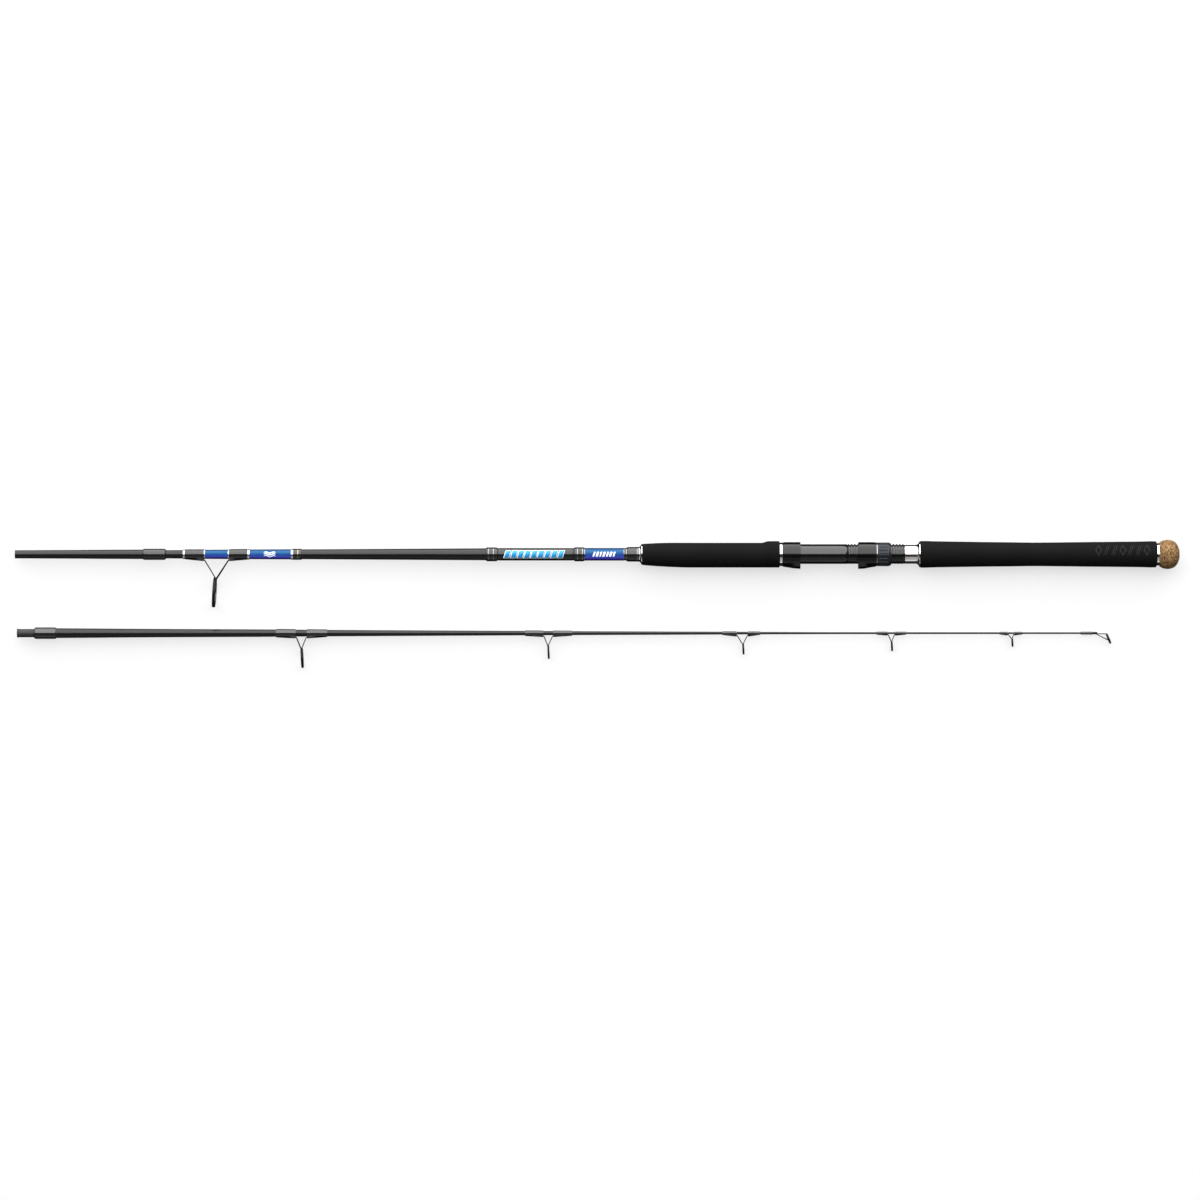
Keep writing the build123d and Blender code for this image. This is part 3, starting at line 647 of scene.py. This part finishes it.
def rear_grip():
    """Long waisted foam grip, with mesh rows close together where the row is pressed."""
    size = 1.6

    def radius_of(along, angle):
        radius = REAR_RADIUS(along)
        return (radius - rounded_end(along, REAR_START, REAR_END, size)
                + foam_grain(along, angle, 14.0) - motif_press(along, angle, radius))

    pressed_start = MOTIF_START - MOTIF_STEP / 2
    pressed_end = MOTIF_START + MOTIF_STEP * (MOTIF_COUNT - 0.5)
    places = [place for place in end_stations(REAR_START, REAR_END, size, 1.2)
              if not pressed_start < place < pressed_end]
    places = sorted(places + spread(pressed_start, pressed_end, 0.35))
    grip = turned_piece("rear_grip_foam", places, radius_of, blank_radius, 240, FOAM)
    mark_pressed(grip)
    return finish_piece(grip, "butt_section", "eva_foam", "rear_grip")


CORK_START, CORK_END = 1281.6, 1304.0
CORK_RADIUS = smooth_curve([(1281.6, 13.4), (1285.5, 15.5), (1291.0, 16.5), (1297.5, 14.9), (1301.9, 10.6),
                            (1304.0, 5.0)])


def cork_cap():
    """Domed cap of ground cork, with real pits and raised chips in its surface."""
    joint = 0.35

    def radius_of(along, angle):
        radius = CORK_RADIUS(along)
        spot = Vector((along, radius * math.sin(angle), radius * math.cos(angle)))
        distances = noise.voronoi(spot * 0.62)[0]
        chips = min(distances[1] - distances[0], joint) / joint
        fine = noise.noise(spot * 2.4)
        return radius - 0.10 * (1.0 - chips) + 0.07 * fine - 0.02

    rows = 90
    around = 200
    places = [CORK_START + (CORK_END - CORK_START) * math.sin(math.pi / 2 * count / rows)
              for count in range(rows + 1)]
    angles = [TURN * count / around for count in range(around)]
    rings = [[butt_point(along, angle, radius_of(along, angle)) for angle in angles] for along in places]
    points = [point for ring in rings for point in ring]
    faces = []
    for row in range(len(rings) - 1):
        for column in range(around):
            after = (column + 1) % around
            faces.append((row * around + column, row * around + after,
                          (row + 1) * around + after, (row + 1) * around + column))
    faces.append(tuple(range(around - 1, -1, -1)))
    faces.append(tuple((len(rings) - 1) * around + column for column in range(around)))
    cap = add_mesh("cork_cap_ground", points, faces, CORK)
    return finish_piece(cap, "butt_section", "cork", "cork_cap")


# ---------------------------------------------------------------- printed marks

PRINT_LIFT = 0.04
INK_THICKNESS = 0.02
BAND_LIFT = 0.25
LABEL_RADIUS = 6.95


def wrapped_patch(points, faces, start, end, edge_of, radius_of, lift, steps):
    """Adds one printed patch that lies on the rod: edge_of(t) gives its two sides, in mm round it."""
    base = len(points)
    rows = 12
    for step in range(steps + 1):
        t = step / steps
        along = start + (end - start) * t
        low, high = edge_of(t)
        for row in range(rows + 1):
            around = low + (high - low) * row / rows
            radius = radius_of(along) + lift
            points.append(butt_point(along, around / radius, radius))
    for step in range(steps):
        for row in range(rows):
            corner = base + step * (rows + 1) + row
            faces.append((corner, corner + 1, corner + rows + 2, corner + rows + 1))


def slanted_bar(points, faces, centre, width, height, slant, radius_of, lift):
    """Adds a bar that leans along the rod as it goes round it."""
    base = len(points)
    rows = 16
    columns = 3
    for row in range(rows + 1):
        around = height * (row / rows - 0.5)
        for column in range(columns + 1):
            along = centre + width * (column / columns - 0.5) + slant * around
            radius = radius_of(along) + lift
            points.append(butt_point(along, around / radius, radius))
    for row in range(rows):
        for column in range(columns):
            corner = base + row * (columns + 1) + column
            faces.append((corner, corner + 1, corner + columns + 2, corner + columns + 1))


def label_radius(along):
    """Outer radius of the label sleeve, which is the same all along."""
    return LABEL_RADIUS


def band_radius(along):
    """Outer radius of the blue bands."""
    return blank_radius(along) + BAND_LIFT


def printed(name, material, slot):
    """Collector for the patches of one printed mark, made into a piece at the end."""
    points = []
    faces = []

    def done():
        piece = add_mesh(name, points, faces, material)
        solid = piece.modifiers.new("ink", "SOLIDIFY")
        solid.thickness = INK_THICKNESS * MM
        solid.offset = 0.0
        return finish_piece(piece, "butt_section", slot)

    return points, faces, done


def label_bars():
    """Row of slanted cyan bars with white borders on the black sleeve."""
    white_points, white_faces, white_done = printed("label_bars_border", INK_WHITE, "label_black")
    cyan_points, cyan_faces, cyan_done = printed("label_bars", INK_CYAN, "blue_band")
    count = 9
    first, last = 551.5, 611.5
    slant = 0.28
    for place in range(count):
        share = place / (count - 1)
        centre = first + (last - first) * share
        width = 5.7 - 0.5 * abs(2 * share - 1)
        slanted_bar(white_points, white_faces, centre, width + 1.4, 9.8, slant, label_radius, PRINT_LIFT)
        slanted_bar(cyan_points, cyan_faces, centre, width, 8.6, slant, label_radius, PRINT_LIFT + 0.03)
    white_done()
    cyan_done()


def wave_mark():
    """Three short white waves on the middle blue band."""
    points, faces, done = printed("wave_mark", INK_WHITE, "blue_band")
    start, end = 278.8, 292.2
    spacing, swing, waves, half_width = 2.1, 0.75, 1.5, 0.5
    for line in (-spacing, 0.0, spacing):
        def edges(t, line=line):
            middle = line + swing * math.sin(TURN * waves * t)
            half = half_width * math.sqrt(max(1.0 - (2 * t - 1) ** 4, 0.0)) + 0.03
            return middle - half, middle + half

        wrapped_patch(points, faces, start, end, edges, band_radius, PRINT_LIFT, 36)
    done()


def dash_mark():
    """Row of slanted white dashes, long and short, on the rear blue band."""
    points, faces, done = printed("dash_mark", INK_WHITE, "blue_band")
    count = 7
    first, last = 648.6, 671.0
    for place in range(count):
        centre = first + (last - first) * place / (count - 1)
        width = 2.5 if place % 2 else 1.9
        slanted_bar(points, faces, centre, width, 5.6, 0.30, band_radius, PRINT_LIFT)
    done()


# ---------------------------------------------------------------- floor, light and camera

VIEW_WIDTH = 1.344
VIEW_CENTRE = (0.0032, 0.0042)
LENS = 250.0
SENSOR = 36.0
RADIANCE = math.pi
LAMP_LENGTH = 9.0
FLOOR_REACH = 40.0


def floor():
    """Plain pale stage that glows a little and isn't seen in reflections, so the blacks stay deep."""
    paint = Paint("floor_white", Specular_IOR_Level=0.1, Emission_Color=grey(1.0), Emission_Strength=0.67)
    paper = paint.noise(180.0, 4.0)
    material = paint.set(Base_Color=paint.mix(paper, grey(0.178), grey(0.182)), Roughness=0.9)
    reach = FLOOR_REACH
    corners = [(-reach, -reach, 0), (reach, -reach, 0), (reach, reach, 0), (-reach, reach, 0)]
    sheet = add_mesh("floor", corners, [(0, 1, 2, 3)], material, smooth=False)
    sheet.visible_glossy = False
    sheet.visible_diffuse = False
    sheet.visible_shadow = False


def softbox(name, near, far, length, radiance):
    """Long flat lamp across the rod: near and far are its edges as (y, z), facing the rod."""
    height = math.hypot(far[0] - near[0], far[1] - near[1])
    lamp = bpy.data.lights.new(name, "AREA")
    lamp.shape = "RECTANGLE"
    lamp.size = length
    lamp.size_y = height
    lamp.energy = radiance * RADIANCE * length * height
    holder = bpy.data.objects.new(name, lamp)
    bpy.context.scene.collection.objects.link(holder)
    middle = Vector((0, (near[0] + far[0]) / 2, (near[1] + far[1]) / 2))
    holder.location = middle
    facing = Vector((0, -(far[1] - near[1]), far[0] - near[0]))
    if facing.dot(middle) > 0:
        facing = -facing
    holder.rotation_euler = facing.to_track_quat("-Z", "Y").to_euler()
    holder.visible_camera = False


def sky():
    """Pale at the horizon and dark overhead, like a studio with its ceiling lights off."""
    world = bpy.data.worlds.new("studio")
    bpy.context.scene.world = world
    world.use_nodes = True
    tree = world.node_tree
    place = tree.nodes.new("ShaderNodeTexCoord")
    parts = tree.nodes.new("ShaderNodeSeparateXYZ")
    ramp = tree.nodes.new("ShaderNodeValToRGB")
    tree.links.new(place.outputs["Generated"], parts.inputs[0])
    tree.links.new(parts.outputs[2], ramp.inputs[0])
    tree.links.new(ramp.outputs[0], tree.nodes["Background"].inputs["Color"])
    stops = ramp.color_ramp.elements
    stops[0].position, stops[0].color = 0.0, grey(0.02)
    stops[1].position, stops[1].color = 0.60, grey(0.03)
    for height, glow in ((0.03, 0.60), (0.10, 0.60), (0.24, 0.20)):
        stops.new(height).color = grey(glow)


def camera():
    """Long lens straight above the rod, with its top edge towards +Y."""
    lens = bpy.data.cameras.new("camera")
    lens.lens = LENS
    lens.sensor_width = SENSOR
    lens.clip_end = 200.0
    holder = bpy.data.objects.new("camera", lens)
    bpy.context.scene.collection.objects.link(holder)
    distance = VIEW_WIDTH * LENS / SENSOR
    holder.location = (*VIEW_CENTRE, BUTT_Z + distance)
    bpy.context.scene.camera = holder


bpy.context.scene.view_settings.view_transform = "Standard"
dress_frame()
camera()
seat_barrel()
foregrip()
rear_grip()
cork_cap()
label_bars()
wave_mark()
dash_mark()
floor()
sky()
softbox("key_light", near=(0.45, 5.0), far=(5.4, -1.6), length=LAMP_LENGTH, radiance=5.0)
softbox("fill_light", near=(-2.6, 4.5), far=(-5.5, -0.3), length=LAMP_LENGTH, radiance=0.36)
